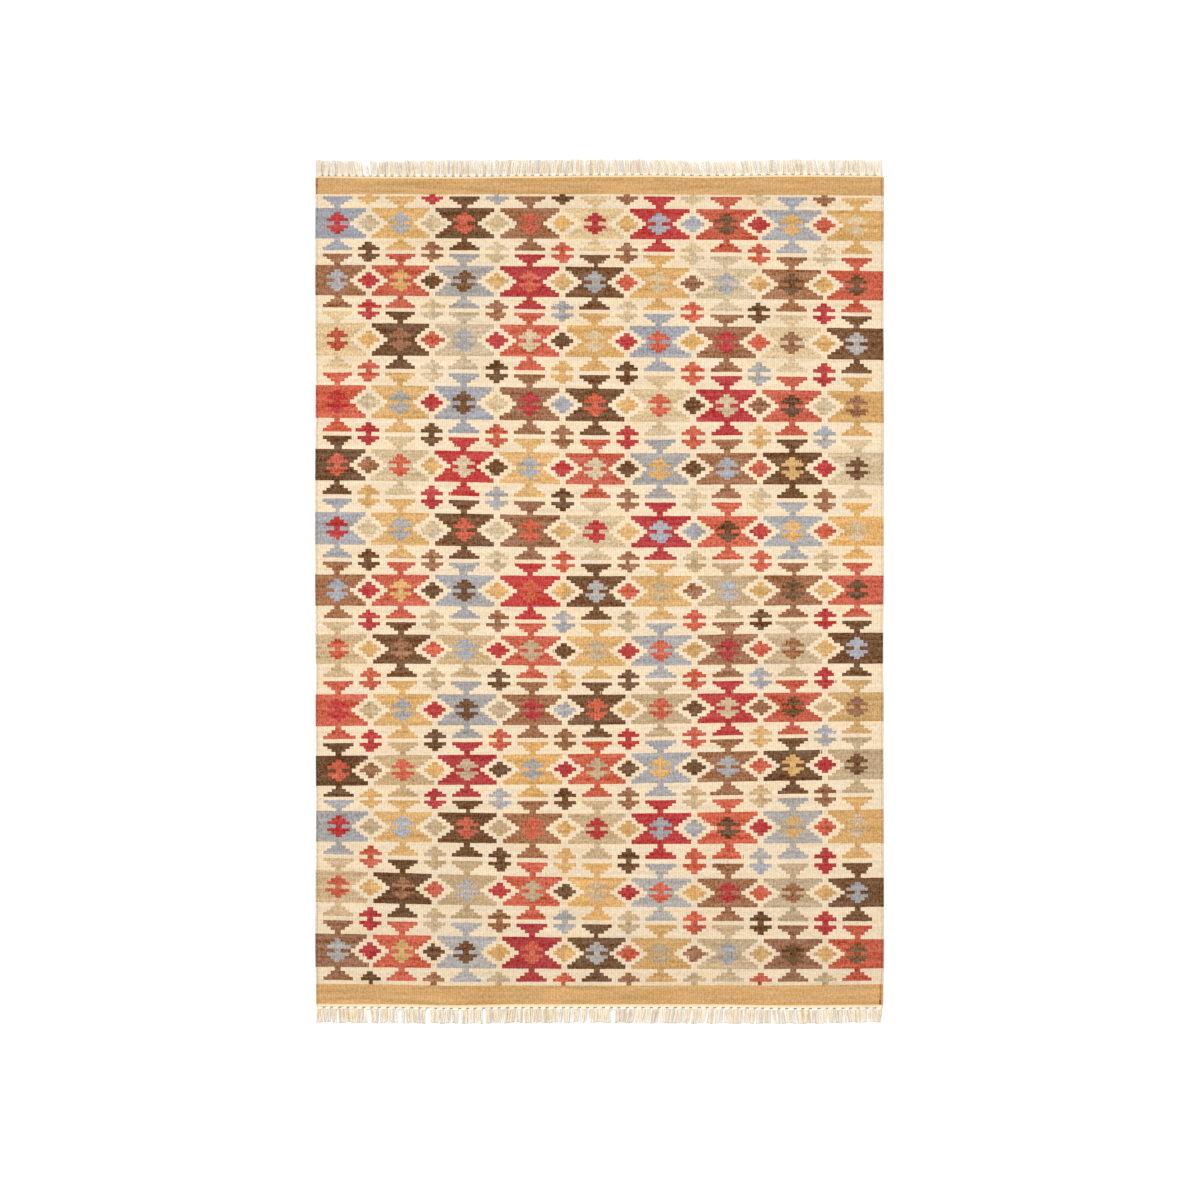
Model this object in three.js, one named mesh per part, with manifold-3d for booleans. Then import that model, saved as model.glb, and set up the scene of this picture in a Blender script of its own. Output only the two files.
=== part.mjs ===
// A flat-woven wool rug with a knotted fringe along both ends, lying flat on the floor.
// Millimetres, +Z up. X runs across the rug and Y along it. The origin is on the floor,
// under the middle of the rug.
import * as THREE from 'three';
import { mergeVertices } from 'three/addons/utils/BufferGeometryUtils.js';
import Module from 'manifold-3d';

// The woven cloth
const clothWidth = 1600;
const clothLength = 2326; // between the two woven ends, without the fringe
const clothThickness = 4; // at the crown of a rib
const ribCount = 281; // warp ribs, which run the length of the rug
const ribDepth = 0.5; // from the crown of a rib down to the valley beside it
const selvedgeRise = 0.6; // how much thicker the outermost rib is on each side
const sideSteps = 30; // straight pieces along each uneven side
const wovenMiddle = 3.2; // how far the cloth's middle lies from the rug's, towards the top end

// The knotted strip beside each woven end. Depths are measured outward from the cloth.
const clothGap = 0.3;
const stripInset = 4; // from the rug's full width to the strip's end
const tasselCount = 71;
const knotDrift = { by: 1.4, turn: 2.1 }; // a wave that makes the knots' spacing uneven
const innerWall = 2.9; // the strip's upright side next to the cloth
const cord = { crest: 3.8, wall: 2.2 }; // the twined rows, all that joins two knots
const knot = { depth: 13.5, crest: 5.6, wall: 3.2 }; // wall is the upright part outside
const knotWaist = 0.41; // a knot's half width at its outer side, as a share of its spacing

// The tassels: each has two locks of yarn, which lie with their flat side on the floor
const lockRoot = 8; // where a lock starts, inside its knot
const lockElbow = 26;
const tipUnevenness = 3; // how much shorter the shortest lock is
const lockSpread = { root: 5, elbow: 5.3, tip: 5.1 }; // from a tassel's middle to a lock's
const lockWidth = { root: 9, elbow: 9.8, tip: 8.4 };
const lockHeight = { root: 3.2, elbow: 3, tip: 1.8 };
const elbowLean = 0.25; // the elbow's share of its tip's sideways lean

// Waves that make the tassels unlike each other. by is in mm, and turn in radians a tassel.
const leanWaves = [
  { by: 4, turn: 0.8 },
  { by: 2.2, turn: 2.2 },
];
const lengthTurn = { tassel: 2.4, lock: 1.8 }; // lock is from a tassel's first to its second

// The two ends. across runs from 0 at the rug's left side to 1 at its right. stray is how far
// the woven end lies outward of a straight line, and tips how far out of that line the longest
// yarns reach. twined is how deep the twined rows are, and crowding how much closer the knots
// stand at the left side.
const ends = {
  top: {
    sign: 1,
    knotWave: 0,
    leanWave: 0,
    twined: 6.5,
    crowding: 0.18,
    rows: [
      { across: 0, stray: -0.8, tips: 48.5 },
      { across: 0.11, stray: -2.3, tips: 45.5 },
      { across: 0.25, stray: -2.8, tips: 49 },
      { across: 0.36, stray: -1.1, tips: 50 },
      { across: 0.5, stray: 1.3, tips: 51 },
      { across: 0.61, stray: 1.7, tips: 50 },
      { across: 0.68, stray: -0.6, tips: 46 },
      { across: 0.85, stray: 2.5, tips: 51 },
      { across: 1, stray: 0.6, tips: 49 },
    ],
  },
  bottom: {
    sign: -1,
    knotWave: 1.3,
    leanWave: 2,
    twined: 9,
    crowding: 0,
    rows: [
      { across: 0, stray: -1.8, tips: 53.5 },
      { across: 0.11, stray: -1.3, tips: 55.5 },
      { across: 0.25, stray: 2.1, tips: 57.5 },
      { across: 0.36, stray: -0.4, tips: 55 },
      { across: 0.5, stray: -0.7, tips: 54.5 },
      { across: 0.61, stray: -0.4, tips: 55.5 },
      { across: 0.68, stray: -0.7, tips: 57 },
      { across: 0.85, stray: 2.4, tips: 57.5 },
      { across: 1, stray: 0.7, tips: 53 },
    ],
  },
};

// How far the weft draws the sides in. along runs from 0 at the bottom end to 1 at the top.
const sideDrawIn = [
  { along: 0, left: 3.3, right: 2.4 },
  { along: 0.07, left: 0.8, right: 0 },
  { along: 0.165, left: 2, right: 0.1 },
  { along: 0.24, left: 3.2, right: 0.8 },
  { along: 0.31, left: 2.1, right: 1.8 },
  { along: 0.36, left: 1.6, right: 1 },
  { along: 0.41, left: 2.6, right: 2.5 },
  { along: 0.455, left: 1.4, right: 2.2 },
  { along: 0.53, left: 0.1, right: 0.5 },
  { along: 0.6, left: 0, right: 1 },
  { along: 0.67, left: 1.1, right: 0.2 },
  { along: 0.77, left: 2.2, right: 0.8 },
  { along: 0.84, left: 1.1, right: 1.7 },
  { along: 0.915, left: 0.7, right: 1 },
  { along: 1, left: 1.5, right: 0.1 },
];

const wovenWool = new THREE.MeshStandardMaterial({
  name: 'woven wool',
  color: '#d3ab7b',
  roughness: 0.95,
  metalness: 0,
});
const fringeYarn = new THREE.MeshStandardMaterial({
  name: 'ivory fringe yarn',
  color: '#f3e6cb',
  roughness: 0.9,
  metalness: 0,
});

const wasm = await Module();
wasm.setup();

// One column of a table, read between two of its rows and eased from one to the next.
function eased(table, key, at, column) {
  const next = table.findIndex((row, index) => index > 0 && row[key] >= at);
  const high = table[next];
  const low = table[next - 1];
  const share = THREE.MathUtils.smoothstep(at, low[key], high[key]);
  return THREE.MathUtils.lerp(low[column], high[column], share);
}

function solidFrom(geometry) {
  const bare = geometry.clone();
  bare.deleteAttribute('normal');
  bare.deleteAttribute('uv');
  const merged = mergeVertices(bare, 1e-4);
  const vertProperties = new Float32Array(merged.attributes.position.array);
  const triVerts = new Uint32Array(merged.index.array);
  return new wasm.Manifold(new wasm.Mesh({ numProp: 3, vertProperties, triVerts }));
}

function meshFrom(solid, name, material) {
  const { vertProperties, triVerts } = solid.getMesh();
  const geometry = new THREE.BufferGeometry();
  geometry.setAttribute('position', new THREE.BufferAttribute(vertProperties, 3));
  geometry.setIndex(new THREE.BufferAttribute(triVerts, 1));
  geometry.computeVertexNormals();
  const mesh = new THREE.Mesh(geometry, material);
  mesh.name = name;
  return mesh;
}

// A closed body through a row of rings. Each ring holds as many points as the others and
// turns counter-clockwise as seen from the side that the row runs towards.
function loft(rings) {
  const sides = rings[0].length;
  const faces = [];
  for (let ring = 0; ring + 1 < rings.length; ring += 1) {
    for (let side = 0; side < sides; side += 1) {
      const a = ring * sides + side;
      const b = ring * sides + ((side + 1) % sides);
      faces.push(a, b, b + sides, a, b + sides, a + sides);
    }
  }
  const last = (rings.length - 1) * sides;
  for (let side = 1; side + 1 < sides; side += 1) {
    faces.push(0, side + 1, side);
    faces.push(last, last + side, last + side + 1);
  }
  return new THREE.BufferGeometry().setFromPoints(rings.flat()).setIndex(faces);
}

// A fringe is made with its tips towards +Y, and turned round for the bottom end. These read
// the end's table at a place along X, as that fringe sees it.
const nominalEnd = ({ sign }) => clothLength / 2 + sign * wovenMiddle;
const readEnd = (end, x, column) =>
  nominalEnd(end) + eased(end.rows, 'across', 0.5 + (end.sign * x) / clothWidth, column);

// Borders between the knots of one fringe, from the strip's left end to its right end.
function knotBorders({ knotWave, crowding }) {
  const start = stripInset - clothWidth / 2;
  return Array.from({ length: tasselCount + 1 }, (_, index) => {
    const share = index / tasselCount;
    const held = index === 0 || index === tasselCount;
    const drift = held ? 0 : knotDrift.by * Math.sin(knotDrift.turn * index + knotWave);
    return start - 2 * start * (share - crowding * share * (1 - share) ** 2) + drift;
  });
}

// The cloth's outline on the floor, counter-clockwise from its bottom left corner.
function clothOutline() {
  const side = (column, sign) =>
    Array.from({ length: sideSteps + 1 }, (_, step) => {
      const along = step / sideSteps;
      const x = sign * (clothWidth / 2 - eased(sideDrawIn, 'along', along, column));
      const low = -readEnd(ends.bottom, -x, 'stray');
      const high = readEnd(ends.top, x, 'stray');
      return new THREE.Vector2(x, THREE.MathUtils.lerp(low, high, along));
    });
  const across = (end) =>
    knotBorders(end).map((x) => {
      const y = readEnd(end, x, 'stray');
      return new THREE.Vector2(end.sign * x, end.sign * y);
    });
  return [
    ...across(ends.bottom).reverse(),
    ...side('right', 1),
    ...across(ends.top).reverse(),
    ...side('left', -1).reverse(),
  ];
}

// The cloth's section across the ribs, which lies flat below and is ribbed above.
function ribbedSection() {
  const ribWidth = clothWidth / ribCount;
  const left = -clothWidth / 2;
  const section = [new THREE.Vector2(left, 0), new THREE.Vector2(-left, 0)];
  for (let rib = ribCount - 1; rib >= 0; rib -= 1) {
    const selvedge = rib === 0 || rib === ribCount - 1;
    const crown = clothThickness + (selvedge ? selvedgeRise : 0);
    const valley = clothThickness - ribDepth;
    section.push(new THREE.Vector2(left + (rib + 1) * ribWidth, valley));
    section.push(new THREE.Vector2(left + (rib + 0.5) * ribWidth, crown));
  }
  section.push(new THREE.Vector2(left, clothThickness - ribDepth));
  return section;
}

function cloth() {
  const spare = 10; // how far the slab and the cut each reach past the other
  const slab = new THREE.ExtrudeGeometry(new THREE.Shape(ribbedSection()), {
    depth: clothLength + 2 * spare,
    bevelEnabled: false,
  });
  slab.rotateX(Math.PI / 2).translate(0, nominalEnd(ends.top) + spare, 0);
  const cut = new THREE.ExtrudeGeometry(new THREE.Shape(clothOutline()), {
    depth: clothThickness + 2 * spare,
    bevelEnabled: false,
  });
  cut.translate(0, 0, -spare);
  return solidFrom(slab).intersect(solidFrom(cut));
}

// The twined rows along the woven end with their raised knots, as one ridged bar along X.
function knottedStrip(end) {
  const borders = knotBorders(end);
  const ring = (x, depth, { crest, wall }) => {
    const inner = readEnd(end, x, 'stray') + clothGap;
    const outer = readEnd(end, x, 'stray') + depth;
    return [
      new THREE.Vector3(x, outer, 0),
      new THREE.Vector3(x, outer, wall),
      new THREE.Vector3(x, (inner + outer) / 2, crest),
      new THREE.Vector3(x, inner, innerWall),
      new THREE.Vector3(x, inner, 0),
    ];
  };
  const rings = [ring(borders[0], end.twined, cord)];
  for (let tassel = 0; tassel < tasselCount; tassel += 1) {
    const middle = (borders[tassel] + borders[tassel + 1]) / 2;
    const waist = knotWaist * (borders[tassel + 1] - borders[tassel]);
    rings.push(ring(middle - waist, knot.depth, knot));
    rings.push(ring(middle + waist, knot.depth, knot));
    rings.push(ring(borders[tassel + 1], end.twined, cord));
  }
  return loft(rings);
}

// One lock of yarn: a three-sided body with its flat side on the floor, bent once.
function lock(middle, side, lean, start, tip) {
  const section = (part, y, shift) => {
    const x = middle + side * lockSpread[part] + shift;
    const half = lockWidth[part] / 2;
    return [
      new THREE.Vector3(x + half, y, 0),
      new THREE.Vector3(x - half, y, 0),
      new THREE.Vector3(x, y, lockHeight[part]),
    ];
  };
  return loft([
    section('root', start + lockRoot, 0),
    section('elbow', start + lockElbow, elbowLean * lean),
    section('tip', tip, lean),
  ]);
}

// The knotted strip and the locks that hang from its knots, as one body.
function fringe(end) {
  const borders = knotBorders(end);
  const pieces = [solidFrom(knottedStrip(end))];
  for (let tassel = 0; tassel < tasselCount; tassel += 1) {
    const middle = (borders[tassel] + borders[tassel + 1]) / 2;
    const sways = leanWaves.map(({ by, turn }) => by * Math.sin(turn * tassel + end.leanWave));
    const lean = sways[0] + sways[1];
    for (const side of [-1, 1]) {
      const ahead = side > 0 ? lengthTurn.lock : 0;
      const shorter = (1 - Math.cos(lengthTurn.tassel * tassel + ahead)) / 2;
      const tip = readEnd(end, middle, 'tips') - tipUnevenness * shorter;
      pieces.push(solidFrom(lock(middle, side, lean, nominalEnd(end), tip)));
    }
  }
  return wasm.Manifold.union(pieces);
}

const rug = new THREE.Group();
rug.add(meshFrom(cloth(), 'rug_cloth', wovenWool));
rug.add(meshFrom(fringe(ends.top), 'fringe_top_end', fringeYarn));
const bottomFringe = meshFrom(fringe(ends.bottom), 'fringe_bottom_end', fringeYarn);
bottomFringe.rotation.z = Math.PI;
rug.add(bottomFringe);

export default rug;
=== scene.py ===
# A flat-woven kilim with a knotted fringe at both ends, laid out on a pale studio floor.
import math

import bpy
import numpy as np
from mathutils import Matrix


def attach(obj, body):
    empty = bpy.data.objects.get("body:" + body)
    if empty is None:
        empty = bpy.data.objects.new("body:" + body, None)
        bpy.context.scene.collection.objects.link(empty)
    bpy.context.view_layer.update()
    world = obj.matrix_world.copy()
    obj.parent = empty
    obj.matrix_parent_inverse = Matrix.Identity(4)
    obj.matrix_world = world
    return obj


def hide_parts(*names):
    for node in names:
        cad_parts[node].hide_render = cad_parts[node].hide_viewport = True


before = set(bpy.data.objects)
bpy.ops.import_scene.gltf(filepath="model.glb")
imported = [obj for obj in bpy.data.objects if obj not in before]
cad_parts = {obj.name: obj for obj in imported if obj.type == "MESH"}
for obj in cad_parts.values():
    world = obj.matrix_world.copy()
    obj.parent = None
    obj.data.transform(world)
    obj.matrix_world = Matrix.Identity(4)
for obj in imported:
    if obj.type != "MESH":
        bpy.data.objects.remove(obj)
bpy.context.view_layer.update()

print("frame loaded:", ", ".join(sorted(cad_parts)))


def readTable(table, key, at, column):
    # one column of a table, eased from each row to the next
    keys = np.array([row[key] for row in table])
    values = np.array([row[column] for row in table])
    at = np.clip(at, keys[0], keys[-1])
    row = np.clip(np.searchsorted(keys, at) - 1, 0, len(keys) - 2)
    share = (at - keys[row]) / (keys[row + 1] - keys[row])
    share = share * share * (3 - 2 * share)
    return values[row] + (values[row + 1] - values[row]) * share


def waves(table, rib, band):
    return sum(wave["by"] * np.sin(wave["rib"] * rib + wave["band"] * band) for wave in table)


def makeObject(name, points, faces):
    # points come in millimetres
    mesh = bpy.data.meshes.new(name)
    mesh.from_pydata((np.asarray(points) * 0.001).tolist(), [], faces)
    mesh.shade_smooth()
    made = bpy.data.objects.new(name, mesh)
    bpy.context.scene.collection.objects.link(made)
    return made


def storeValues(mesh, name, domain, values):
    attribute = mesh.attributes.new(name, "FLOAT", domain)
    attribute.data.foreach_set("value", np.asarray(values, np.float32))


def newMaterial(name):
    material = bpy.data.materials.new(name)
    material.use_nodes = True
    tree = material.node_tree
    return material, tree, tree.nodes["Principled BSDF"]


def plug(tree, socket, value):
    if isinstance(value, bpy.types.NodeSocket):
        tree.links.new(value, socket)
    else:
        socket.default_value = value


def calc(tree, operation, *values):
    node = tree.nodes.new("ShaderNodeMath")
    node.operation = operation
    for socket, value in zip(node.inputs, values):
        plug(tree, socket, value)
    return node.outputs[0]


def blendValue(tree, share, first, second):
    node = tree.nodes.new("ShaderNodeMix")
    node.data_type = "FLOAT"
    for index, value in ((0, share), (2, first), (3, second)):
        plug(tree, node.inputs[index], value)
    return node.outputs[0]


def blendColour(tree, share, first, second, how="MIX"):
    node = tree.nodes.new("ShaderNodeMix")
    node.data_type = "RGBA"
    node.blend_type = how
    for index, value in ((0, share), (6, first), (7, second)):
        plug(tree, node.inputs[index], value)
    return node.outputs[2]


def combine(tree, x, y, z=0.0):
    node = tree.nodes.new("ShaderNodeCombineXYZ")
    for socket, value in zip(node.inputs, (x, y, z)):
        plug(tree, socket, value)
    return node.outputs[0]


def stored(tree, name):
    node = tree.nodes.new("ShaderNodeAttribute")
    node.attribute_name = name
    return node.outputs["Fac"]


def grey(tree, value):
    node = tree.nodes.new("ShaderNodeCombineColor")
    for socket in node.inputs:
        plug(tree, socket, value)
    return node.outputs[0]


def noise(tree, place, stretch, detail=2.0):
    # values around 0.5, from a cloud squeezed by stretch along x, y and z
    spread = tree.nodes.new("ShaderNodeMapping")
    spread.inputs["Scale"].default_value = stretch
    tree.links.new(place, spread.inputs["Vector"])
    cloud = tree.nodes.new("ShaderNodeTexNoise")
    cloud.inputs["Scale"].default_value = 1.0
    cloud.inputs["Detail"].default_value = detail
    tree.links.new(spread.outputs[0], cloud.inputs["Vector"])
    return cloud.outputs["Fac"]


def linear(colour):
    # from a colour as seen on a screen, 0 to 255, to what a shader wants
    shares = np.array(colour) / 255
    return [*np.where(shares <= 0.04045, shares / 12.92, ((shares + 0.055) / 1.055) ** 2.4), 1.0]


def stepRamp(tree, at, starts, colours):
    # a ramp that jumps from each colour to the next
    node = tree.nodes.new("ShaderNodeValToRGB")
    ramp = node.color_ramp
    ramp.interpolation = "CONSTANT"
    while len(ramp.elements) < len(starts):
        ramp.elements.new(1.0)
    for stop, start, colour in zip(ramp.elements, starts, colours):
        stop.position = start
        stop.color = colour
    plug(tree, node.inputs["Fac"], at)
    return node.outputs["Color"]


def finishYarn(tree, shader, height, look):
    # a dull yarn whose hairs and twist stand out by height
    bump = tree.nodes.new("ShaderNodeBump")
    bump.inputs["Strength"].default_value = look["bump"]
    bump.inputs["Distance"].default_value = look["bumpDepth"]
    tree.links.new(height, bump.inputs["Height"])
    tree.links.new(bump.outputs[0], shader.inputs["Normal"])
    shader.inputs["Roughness"].default_value = look["roughness"]
    shader.inputs["Specular IOR Level"].default_value = look["gloss"]
    shader.inputs["Sheen Weight"].default_value = look["sheen"]
    shader.inputs["Sheen Roughness"].default_value = look["sheenRoughness"]


# The woven cloth, in millimetres
rug = {
    "width": 1600,
    "length": 2326,
    "middle": 3.2,         # how far the cloth lies towards the top end
    "ribs": 281,           # warp ribs from side to side
    "ribSteps": 4,         # faces across one rib
    "firstColumn": 11.5,   # ribs from the left side to the first column of motifs
    "columnRibs": 32,      # ribs from one column to the next
    "crown": 4.0,          # thickness on top of a rib
    "ribDepth": 0.5,       # from there down to the valley beside it
    "cordRise": 0.5,       # how much thicker the cord at each side is
    "cordRibs": 1.6,       # and how far in it reaches
    "rim": 0.55,           # how high a side's outermost points lie, in crowns
    "endRim": 0.7,         # how high a woven end's edge is, beside the ribs behind it
    "backInset": 0.35,     # ribs from a side to where the flat back starts
    "sideMargin": 1.4,     # columns that give way where a side is drawn in
    "rippleTurn": 4.6,     # radians of a weft's ripple, from the middle to a side
}

# How far to the right of the rug's middle each column's middle lies
columnMiddles = [-738, -559, -380, -194, -9, 171, 362, 544, 726]

# Waves that keep the weave from looking ruled: how far the ribs stray sideways, and how far
# the cloth swells. rib and band are in radians from one rib and one band to the next.
ribWaves = [{"by": 0.4, "rib": 2.4, "band": 0.9}, {"by": 0.25, "rib": 4.1, "band": -1.3}]
swellWaves = [{"by": 0.09, "rib": 0.07, "band": 0.9}, {"by": 0.09, "rib": 0.023, "band": -1.7}]

# How far the warps drift to the right, in the left and in the right half of the cloth, and
# from which column to which they do
drifts = [
    {"band": 0, "left": 0, "right": -4},
    {"band": 2, "left": -1.2, "right": -5.2},
    {"band": 4, "left": -2.4, "right": -2},
    {"band": 6, "left": -0.5, "right": 1.3},
    {"band": 9, "left": 8, "right": 0.3},
    {"band": 11, "left": 7.2, "right": 0.6},
    {"band": 13, "left": 3.2, "right": 1},
]
driftSpans = {"left": (-0.6, 4.6), "right": (2.6, 8.6)}

# The two ends. across runs from the left side (0) to the right (1). stray is how far the woven
# end lies outward of a straight line, tips how far out of that line the yarns reach, lean how
# far to the right their tips lie and light how pale they are. Yarns stand apart at the partings.
# seed picks the fringe's small chances.
ends = {
    "top": {
        "sign": 1,
        "seed": 5,
        "knotWave": 0,
        "leanWave": 0,
        "crowding": 0.18,          # how much closer the knots stand at the left
        "narrow": 0.06,            # how much narrower than its pitch a tassel may lie
        "tan": 0.18,               # most tan yarn in a tassel: a darker yarn, partly painted shade between yarns
        "twine": (0.4, 3.1),       # how far out each twined row lies
        "shadowCord": 5.0,            # and the dark cord between the knots, painted shadow in the openings there
        "rows": [
            {"across": 0.0, "stray": -0.8, "tips": 50, "lean": 1, "light": 0.9},
            {"across": 0.11, "stray": -2.3, "tips": 47, "lean": -4, "light": 0.965},
            {"across": 0.25, "stray": -2.8, "tips": 50.5, "lean": 0, "light": 0.97},
            {"across": 0.36, "stray": -1.1, "tips": 51.5, "lean": 6, "light": 0.975},
            {"across": 0.5, "stray": 1.3, "tips": 52.5, "lean": 0, "light": 0.98},
            {"across": 0.61, "stray": 1.7, "tips": 51.5, "lean": -7, "light": 0.985},
            {"across": 0.68, "stray": -0.6, "tips": 47.5, "lean": -7, "light": 0.985},
            {"across": 0.85, "stray": 2.5, "tips": 52.5, "lean": -5, "light": 0.99},
            {"across": 1.0, "stray": 0.6, "tips": 50.5, "lean": 0, "light": 0.98},
        ],
        "partings": [
            {"across": 0.087, "wide": 7},
            {"across": 0.104, "wide": 3},
            {"across": 0.322, "wide": 2},
            {"across": 0.457, "wide": 3},
            {"across": 0.594, "wide": 2},
            {"across": 0.857, "wide": 2},
        ],
        "thin": [{"across": 0.096, "width": 0.5, "shorter": 12}],  # tassels that lost yarns
    },
    "bottom": {
        "sign": -1,
        "seed": 3,
        "knotWave": 1.3,
        "leanWave": 2,
        "crowding": 0,
        "narrow": 0.2,
        "tan": 0.32,
        "twine": (0.7, 3.6, 6.3),
        "shadowCord": 8.4,
        "rows": [
            {"across": 0.0, "stray": -1.8, "tips": 52, "lean": 0, "light": 0.985},
            {"across": 0.11, "stray": -1.3, "tips": 54, "lean": 1, "light": 0.995},
            {"across": 0.25, "stray": 2.1, "tips": 56, "lean": 1, "light": 1.0},
            {"across": 0.36, "stray": -0.4, "tips": 53.5, "lean": 1, "light": 1.0},
            {"across": 0.5, "stray": -0.7, "tips": 53, "lean": -1, "light": 1.0},
            {"across": 0.61, "stray": -0.4, "tips": 54, "lean": -6, "light": 1.005},
            {"across": 0.68, "stray": -0.7, "tips": 55.5, "lean": -4, "light": 1.0},
            {"across": 0.85, "stray": 2.4, "tips": 56, "lean": 5, "light": 1.005},
            {"across": 1.0, "stray": 0.7, "tips": 51.5, "lean": 0, "light": 0.98},
        ],
        "partings": [
            {"across": 0.038, "wide": 4},
            {"across": 0.093, "wide": 9},
            {"across": 0.149, "wide": 12},
            {"across": 0.199, "wide": 12},
            {"across": 0.253, "wide": 4},
            {"across": 0.298, "wide": 10},
            {"across": 0.383, "wide": 3},
            {"across": 0.461, "wide": 3},
            {"across": 0.524, "wide": 14},
            {"across": 0.664, "wide": 7},
        ],
        "thin": [],
    },
}

# How far the weft draws the sides in, from the bottom end (0) to the top (1).
sideDrawIn = [
    {"along": 0.0, "left": 3.3, "right": 2.4},
    {"along": 0.07, "left": 0.8, "right": 0.0},
    {"along": 0.165, "left": 2.0, "right": 0.1},
    {"along": 0.24, "left": 3.2, "right": 0.8},
    {"along": 0.31, "left": 2.1, "right": 1.8},
    {"along": 0.36, "left": 1.6, "right": 1.0},
    {"along": 0.41, "left": 2.6, "right": 2.5},
    {"along": 0.455, "left": 1.4, "right": 2.2},
    {"along": 0.53, "left": 0.1, "right": 0.5},
    {"along": 0.6, "left": 0.0, "right": 1.0},
    {"along": 0.67, "left": 1.1, "right": 0.2},
    {"along": 0.77, "left": 2.2, "right": 0.8},
    {"along": 0.84, "left": 1.1, "right": 1.7},
    {"along": 0.915, "left": 0.7, "right": 1.0},
    {"along": 1.0, "left": 1.5, "right": 0.1},
]

# The weft isn't beaten quite straight. Each row is one band's bar of large motifs: where it
# starts and ends below the top end, how far its edge slopes down to the right and sags in the
# middle, at its start and at its end, and how high its ripples are.
bars = [
    {"start": 90, "end": 176, "slope": (8, 8), "sag": (-3, -3), "ripple": 0},
    {"start": 255, "end": 339, "slope": (18, 15), "sag": (-3, -1), "ripple": 0},
    {"start": 417, "end": 508, "slope": (16, 12), "sag": (-1, -3), "ripple": 0.5},
    {"start": 593, "end": 683, "slope": (19, 14), "sag": (0, 2), "ripple": 1},
    {"start": 769, "end": 859, "slope": (12, 14), "sag": (5, 3), "ripple": 1.8},
    {"start": 947, "end": 1034, "slope": (14, 4), "sag": (3, 6), "ripple": 1},
    {"start": 1118, "end": 1203, "slope": (3, -3), "sag": (2, 4), "ripple": 1},
    {"start": 1283, "end": 1368, "slope": (-5, 0), "sag": (5, 4), "ripple": 2.4},
    {"start": 1451, "end": 1537, "slope": (-6, -15), "sag": (2, 1), "ripple": 1.2},
    {"start": 1617, "end": 1702, "slope": (-20, -19), "sag": (3, 3), "ripple": 1},
    {"start": 1779, "end": 1870, "slope": (-4, 5), "sag": (9, 4), "ripple": 1},
    {"start": 1958, "end": 2044, "slope": (22, 14), "sag": (11, 7), "ripple": 0},
    {"start": 2134, "end": 2222, "slope": (16, 5), "sag": (4, 4), "ripple": 0},
]

# The lines between the pattern and the two plain end bands: how far below the top end they
# lie, and how much of the woven end's straying they follow
plainBands = {
    "top": {"at": 49.5, "slope": 5, "sag": -2, "follow": 0.3},
    "bottom": {"at": 2268, "slope": 0, "sag": 5, "follow": 0.6},
}
firstCream = 5.6   # height of the cream step under the top plain band

# One band is 18 steps of the pattern high: nine in the bar and nine up to the next bar.
# These are their shares of the two heights, as beaten.
barSteps = [0.14, 0.093, 0.096, 0.102, 0.129, 0.099, 0.099, 0.093, 0.149]
gapSteps = [0.125, 0.105, 0.09, 0.115, 0.13, 0.115, 0.09, 0.105, 0.125]
barShare = 0.5              # a bar's share of its band
stepStarts = barShare * np.concatenate([[0], np.cumsum(barSteps + gapSteps)[:-1]])
plainStep = 13              # the plain step between two bands
plainStart = stepStarts[plainStep]
plainEnd = stepStarts[plainStep + 1]
firstStep = plainStart - 1  # the pattern starts and ends with such a step
lastStep = len(bars) - 1 + plainEnd
plainReach = 0.3175         # an end band's height, in bands

# How many ribs wide each motif is in each of those steps. A heart lies in an hourglass, and
# diamonds and crosses between two columns.
motifWidths = {
    "hourglass": [29, 25, 21, 17, 13, 17, 21, 25, 29, 3, 7, 11, 15, 0, 15, 11, 7, 3],
    "heart": [0, 3, 7, 11, 3, 11, 7, 3, 0, 0, 0, 0, 0, 0, 0, 0, 0, 0],
    "diamond": [0, 0, 3, 7, 11, 7, 3, 0, 0, 0, 0, 0, 0, 0, 0, 0, 0, 0],
    "cross": [0, 0, 0, 0, 0, 0, 0, 0, 0, 0, 3, 7, 11, 3, 11, 7, 3, 0],
}
onColumns = ("hourglass", "heart")
rowAhead = 0.25             # bands from an hourglass's first tip to its bar

# The weaver's colour plan. Capitals are bands and small letters the rows of crosses between
# them, from the top end down. Each letter in a row is one dyed yarn, from left to right, and
# the hourglasses start over after seven.
yarns = {
    "w": ("cream", (231, 209, 177)),
    "s": ("sand", (200, 156, 102)),
    "c": ("crimson", (174, 57, 55)),
    "o": ("rust", (192, 91, 67)),
    "d": ("dark brown", (107, 73, 44)),
    "n": ("nut brown", (150, 102, 71)),
    "g": ("gold", (206, 161, 102)),
    "b": ("grey blue", (164, 159, 157)),
    "t": ("stone", (203, 178, 141)),
}
secondLot = {"from": 5.7, "stone": (190, 162, 125)}  # the stone yarn is browner in the lower half
bandOrder = "ePaQbRcSdTePaQbRcSdTePcRbQa"
plan = {
    "P": {"hourglass": "bgdntco", "heart": "cboocbdgt", "diamond": "tttggbco"},
    "Q": {"hourglass": "nobcdgt", "heart": "bgdobtbdd", "diamond": "cdggongg"},
    "R": {"hourglass": "tdtogbn", "heart": "onbttocnb", "diamond": "gocdcgog"},
    "S": {"hourglass": "ogbndtc", "heart": "cbdcootdn", "diamond": "tctbgdnt"},
    "T": {"hourglass": "dtcgobn", "heart": "ootbtgbgd", "diamond": "ngdcddoc"},
    "a": {"cross": "dntontot"},
    "b": {"cross": "ctnbtodc"},
    "c": {"cross": "otdgdobc"},
    "d": {"cross": "cdoncogb"},
    "e": {"cross": "gcbdnttn"},
}

halfWidth = rug["width"] / 2
halfLength = rug["length"] / 2


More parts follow.
